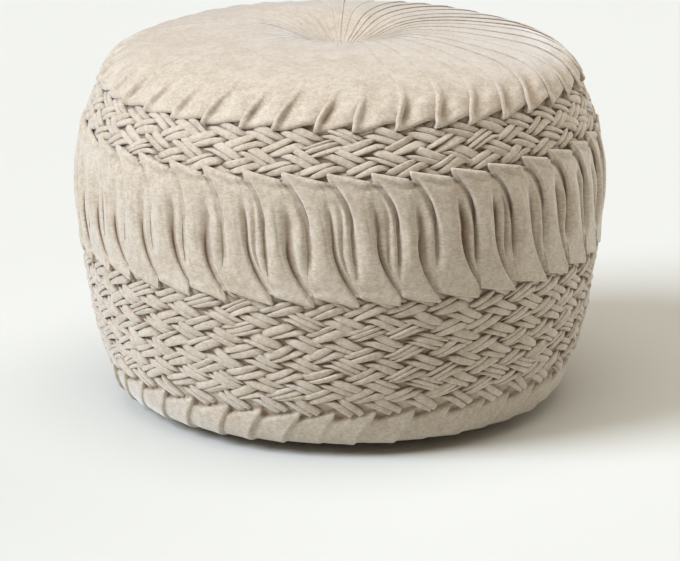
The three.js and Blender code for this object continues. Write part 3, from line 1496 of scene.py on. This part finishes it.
    def places(
        self, rows: PanelRows, kind: dict[str, np.ndarray], work: Handwork
    ) -> np.ndarray:
        """Works out where each point across a panel and the valley after it lies.

        Args:
            rows: The rows of panels.
            kind: The named sizes of the small fold in each valley.
            work: The source of stray amounts.

        Returns:
            The places, in repeats from the panel's own.
        """
        fold, edge = rows.fold, rows.edge
        half_way = self.drum.arc_of("waist_top") + self.height / 2
        mm = MM / self.drum.girth(np.array(half_way))
        gap = np.roll(fold, -1, axis=1) + 1 - edge
        wide = edge - fold
        near = np.minimum(self.roll_near * mm, self.near_share * wide)
        soft = np.minimum(self.soft_reach / MM * mm, kind["soft"] * gap)
        middle = (self.middle + work.each(self.middle_stray) - edge) / gap
        middle = np.clip(middle, *self.middle_span)
        left_room, right_room = 2 * middle, 2 * (1 - middle)
        soft_left = soft * left_room
        soft_right = np.roll(soft * right_room, 1, axis=1)
        foot = self.roll_foot * mix(soft_right, mm, rows.keep)
        left_roll = [mix(p.soft * soft_right, p.bold * mm, rows.keep) for p in ROLLED_EDGE]
        right_roll = [mix(p.soft * soft_left, p.bold * mm, rows.hold) for p in ROLLED_EDGE]
        crest = edge + gap * middle
        aside = kind["aside"] * gap
        places = [
            fold - foot,
            *[fold - out for out in reversed(left_roll)],
            fold + self.roll_brim * mm,
            fold + near,
            *[fold + share * wide for share in self.inside],
            edge - near,
            edge - self.roll_brim * mm,
            *[edge + out for out in right_roll],
            crest - 2 * aside * left_room,
            crest - aside * left_room,
            crest,
            crest + aside * right_room,
            crest + 2 * aside * right_room,
        ]
        return np.concatenate(np.broadcast_arrays(*places), axis=-1)

    def shape(self) -> Piece:
        """Shapes the waist.

        Returns:
            The waist's object.
        """
        even = np.linspace(0, 1, self.row_count)
        share = (even - self.crowding * np.sin(2 * math.pi * even))[:, None, None]
        work = Handwork(self.seed)
        rows = self.panels(share * self.height / MM, work)
        lift, kind = self.heights(rows, work)
        across = self.places(rows, kind, work)

        since_fold = across - rows.fold
        since_edge = across - rows.edge
        since_edge[..., self.BEFORE_EDGE] += 1
        since_fold[..., self.FOLD_SIDE] = self.fold_run
        since_edge[..., self.EDGE_SIDE] = self.edge_run
        # Painted shade: thin dark lines beside the bold folds and edges, fading in away from the
        # bands.
        shade = np.zeros(lift.shape)
        fold_line = rows.keep * ease(rows.down, *self.line_span)
        edge_line = rows.hold * ease(rows.up, *self.line_span)
        shade[..., self.FOLD_LINE] = self.line_shade * fold_line
        shade[..., self.EDGE_LINE] = self.line_shade * edge_line
        upper = (rows.down, since_fold, 1.0)
        lower = (rows.up, 1 - since_edge, self.foot_softness)
        for away, along, firm in (upper, lower):
            along = np.clip(along, 0, 1)
            line = self.scallop_from + self.scallop_depth * np.sin(math.pi * along)
            lip = self.rim * bell(away, line / 2 - self.rim_back, self.rim_reach)
            crease = self.pucker * bell(away, line + self.pucker_on, self.pucker_reach)
            lift = lift + firm * (lip - crease) * ease(along, *self.scallop_span)

        low = self.drum.arc_of("waist_top") + self.top_start
        top_arc = low + self.top_fall * np.clip(since_fold, 0, self.top_run)
        foot_arc = low + self.height + self.foot_start
        foot_arc = foot_arc - self.foot_fall * (1 - np.clip(since_edge, 0, 1))
        turns = EACH + self.phase + across
        cloth = Cloth.laid(mix(top_arc, foot_arc, share), turns, lift, shade)
        cloth = cloth.rolled(self.roll, -1).rolled(self.roll, 1)
        return cloth.wrap(self.name, self.drum, self.deepest)


@dataclass(frozen=True)
class PetalPoint:
    """One point across a petal of the hem.

    Args:
        near: How far right of the petal's edge it lies.
        share: The same as a share of the repeat, added to it.
        lift: The share of the ridge's height that it has.
        late: How much later than the rest it comes out from under the strips.
    """

    near: float
    share: float
    lift: float
    late: float


PETAL = (
    PetalPoint(4.2, 0.0, 0.03, 1.0),
    PetalPoint(0.0, 0.22, 0.26, 1.0),
    PetalPoint(0.0, 0.42, 0.42, 0.75),
    PetalPoint(0.0, 0.62, 0.55, 0.45),
    PetalPoint(-6.4, 1.0, 0.80, 0.2),
    PetalPoint(-3.8, 1.0, 1.0, 0.0),
    PetalPoint(-1.8, 1.0, 0.96, 0.0),
    PetalPoint(-0.4, 1.0, 0.66, 0.1),
    PetalPoint(0.3, 1.0, 0.28, 0.5),
    PetalPoint(1.2, 1.0, 0.06, 0.9),
)


@dataclass
class Hem(SewnPiece):
    """The gathered foot: shallow petals that turn in under the pouf."""

    drum: Drum
    seed: int = 37
    row_count: int = 46
    overlap: float = 15 * MM
    phase: float = -0.05
    swing: Course = Course(
        (0, 15, 35, 50, 62, 76, 106), (0.16, 0.0, -0.33, -0.46, -0.47, -0.44, -0.4)
    )
    wander: float = 0.09
    ridge: Course = Course((0, 16, 30, 48, 62, 76, 106), (1.2, 2.2, 3.5, 3.8, 2.7, 1.5, 0.6))
    uneven: Span = (0.45, 1.25)
    bold: Stretch = Stretch(0.42, -7.0, 0.3)
    tuck: float = 3.8 * MM
    tuck_from: float = 9.5
    tuck_late: float = 9.0
    tuck_reach: float = 6.0
    # Painted shade: a dark line where the petals come out from under the strips.
    line_shade: float = 0.5
    line_below: float = 1.5
    line_reach: float = 2.4
    # The lift at which painted crease shade is at its darkest.
    deepest: float = -8.5 * MM

    def shape(self) -> Piece:
        """Shapes the hem.

        Returns:
            The hem's object.
        """
        first = self.drum.arc_of("hem_top") - self.overlap
        last = self.drum.arc_of("turn_in")
        base = np.linspace(first, last, self.row_count)[:, None, None]
        fallen = (base - first) / MM
        point = columns_of([vars(row) for row in PETAL])
        work = Handwork(self.seed)
        across = point["near"] * MM / self.drum.girth(base) + point["share"]
        stray = self.wander * work.wander(EACH, base)
        turns = EACH + self.phase + self.swing.at(fallen) + stray + across
        uneven = work.each(self.uneven) * self.bold.less_outside()
        late = self.tuck_from + self.tuck_late * point["late"]
        tucked = self.tuck * (1 - ease(fallen - late, 0, self.tuck_reach))
        lift = point["lift"] * self.ridge.at(fallen) * MM * uneven - tucked
        # Painted shade line just below where each petal comes out.
        shade = self.line_shade * bell(fallen, late + self.line_below, self.line_reach)
        cloth = Cloth.laid(base, turns, lift, shade)
        return cloth.wrap(self.name, self.drum, self.deepest)


@dataclass
class BasePanel(SewnPiece):
    """The round of plain cloth that closes the underside."""

    sides: int = 160
    rings: int = 5
    pucker: float = 0.25 * MM
    pucker_from: float = 0.9
    bevel: float = 0.5 * MM
    smooth_below: float = math.radians(40)

    def inset(self, piece: Piece, step: float) -> None:
        """Insets both faces again and again, so that they can pucker.

        Args:
            piece: The panel.
            step: The distance from one ring to the next.
        """
        bpy.ops.object.mode_set(mode="EDIT")
        bpy.ops.mesh.select_mode(type="FACE")
        for _ in range(self.rings):
            bpy.ops.object.mode_set(mode="OBJECT")
            for face in piece.data.polygons:
                face.select = len(face.vertices) == self.sides
            bpy.ops.object.mode_set(mode="EDIT")
            bpy.ops.mesh.inset(thickness=step, depth=0.0)
        bpy.ops.object.mode_set(mode="OBJECT")

    def shape(self) -> Piece:
        """Shapes the base panel.

        Returns:
            The base panel's object.
        """
        low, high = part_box("base_panel")
        radius = (high.x - low.x) / 2
        thick = high.z - low.z
        Shaper.settle()
        bpy.ops.mesh.primitive_cylinder_add(
            vertices=self.sides, radius=radius, depth=thick, location=(0, 0, low.z + thick / 2)
        )
        piece = bpy.context.object
        piece.name = self.name
        bpy.ops.object.transform_apply(location=True, rotation=False, scale=False)
        self.inset(piece, radius / (self.rings + 2))
        points = Shaper.points(piece)
        reach = np.hypot(points[:, 0], points[:, 1]) / radius
        angle = np.arctan2(points[:, 0], points[:, 1])
        wave = 0.5 + 0.5 * np.sin(REPEATS * angle + 2 * np.sin(5 * angle))
        raised = self.pucker * wave * ease(reach, self.pucker_from, 1.0)
        points[:, 2] += np.where(points[:, 2] < thick / 2, raised, 0)
        piece.data.vertices.foreach_set("co", points.astype(np.float32).ravel())
        bpy.ops.object.modifier_add(type="BEVEL")
        bevel = piece.modifiers[-1]
        bevel.width = self.bevel
        bevel.segments = 2
        bevel.limit_method = "ANGLE"
        bpy.ops.object.modifier_apply(modifier=bevel.name)
        bpy.ops.object.shade_smooth_by_angle(angle=self.smooth_below)
        Shaper.settle()
        return piece


@dataclass(frozen=True)
class Lamp:
    """A soft, far light.

    Args:
        name: The light's name.
        right: The angle to the right of the front from which it comes, in degrees.
        above: Its angle above the floor, in degrees.
        spread: How wide it is, in degrees.
        strength: Its strength in watts a square metre.
        tone: Its colour.
    """

    name: str
    right: float
    above: float
    spread: float
    strength: float
    tone: Colour

    def build(self) -> None:
        """Adds the light."""
        Shaper.settle()
        bpy.ops.object.light_add(type="SUN", location=(0.0, 0.0, 3.0))
        lamp = bpy.context.object
        lamp.name = self.name
        lamp.data.angle = math.radians(self.spread)
        lamp.data.energy = self.strength
        lamp.data.color = self.tone
        tilt = math.pi / 2 - math.radians(self.above)
        lamp.rotation_euler = (tilt, 0.0, math.radians(self.right))


@dataclass
class Studio:
    """The pale floor, the soft lights and the camera."""

    camera_height: float = 0.969
    camera_distance: float = 3.0
    camera_tilt: float = math.radians(16.02)
    focal_length: float = 171.1
    sensor_width: float = 36.0
    floor_radius: float = 9.0
    floor_sides: int = 96
    sky: Colour = (0.12, 0.084, 0.058)
    lamps: tuple[Lamp, ...] = (
        Lamp("key", -67, 38, 28, 3.42, (0.92, 1.0, 1.14)),
        Lamp("top", 0, 83, 55, 1.66, (1.0, 0.97, 0.895)),
        Lamp("side", 122, 16, 60, 1.3, (1.0, 0.95, 0.87)),
    )

    def floor(self) -> Piece:
        """Adds the floor.

        Returns:
            The floor's object.
        """
        Shaper.settle()
        bpy.ops.mesh.primitive_circle_add(
            vertices=self.floor_sides, radius=self.floor_radius, fill_type="NGON"
        )
        piece = bpy.context.object
        piece.name = "studio_floor"
        piece.data.materials.append(FloorFinish().build())
        Shaper.settle()
        return piece

    def camera(self) -> None:
        """Adds the camera at the photograph's angle."""
        Shaper.settle()
        bpy.ops.object.camera_add(
            location=(0.0, -self.camera_distance, self.camera_height),
            rotation=(math.pi / 2 - self.camera_tilt, 0.0, 0.0),
        )
        view = bpy.context.object
        view.data.lens = self.focal_length
        view.data.sensor_width = self.sensor_width
        bpy.context.scene.camera = view

    def build(self) -> Piece:
        """Sets up the studio.

        Returns:
            The floor's object.
        """
        world = bpy.data.worlds.new("studio")
        world.use_nodes = True
        world.node_tree.nodes["Background"].inputs["Color"].default_value = (*self.sky, 1.0)
        bpy.context.scene.world = world
        bpy.context.scene.view_settings.view_transform = "Standard"
        for lamp in self.lamps:
            lamp.build()
        self.camera()
        return self.floor()


def cover_pieces(velvet: bpy.types.Material) -> list[SewnPiece]:
    """Lists the pieces of the cover, from the top down.

    Args:
        velvet: What they are made of.

    Returns:
        The pieces, before they are shaped.
    """
    drum = Drum(OUTLINE)
    upper_band = SmockedBand(
        "upper_band",
        velvet,
        drum,
        first=Lean.FORWARD,
        rows=6,
        first_arc=244.1 * MM,
        pitch=9.9 * MM,
        phases={Lean.BACK: 0.10, Lean.FORWARD: 0.60},
        seed=5,
        start="crown_lip",
        end="waist_top",
        pair_share=0.9,
        tuck=3.0 * MM,
        tucked=(0, 5),
    )
    lower_band = SmockedBand(
        "lower_band",
        velvet,
        drum,
        first=Lean.BACK,
        rows=11,
        first_arc=404.1 * MM,
        pitch=10.7 * MM,
        phases={Lean.BACK: 0.12, Lean.FORWARD: 0.60},
        seed=7,
        start="waist_foot",
        end="hem_top",
        loose_end=True,
    )
    crown = Crown("crown", velvet, drum)
    waist = Waist("waist", velvet, drum)
    return [crown, upper_band, waist, lower_band, Hem("hem", velvet, drum)]


def main() -> None:
    """Builds the pouf and the studio around the packed solids."""
    logging.basicConfig(level=logging.INFO)
    velvet = VelvetFinish().build()
    Studio().build()
    for part in cover_pieces(velvet):
        piece = part.build()
        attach(piece, "root")
        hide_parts("velvet_cover")
        LOG.info("%s: %d faces", piece.name, len(piece.data.polygons))
    panel = BasePanel("base_cloth", PlainClothFinish().build()).build()
    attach(panel, "root")
    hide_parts("base_panel")
    LOG.info("%s: %d faces", panel.name, len(panel.data.polygons))


if __name__ == "__main__":
    main()
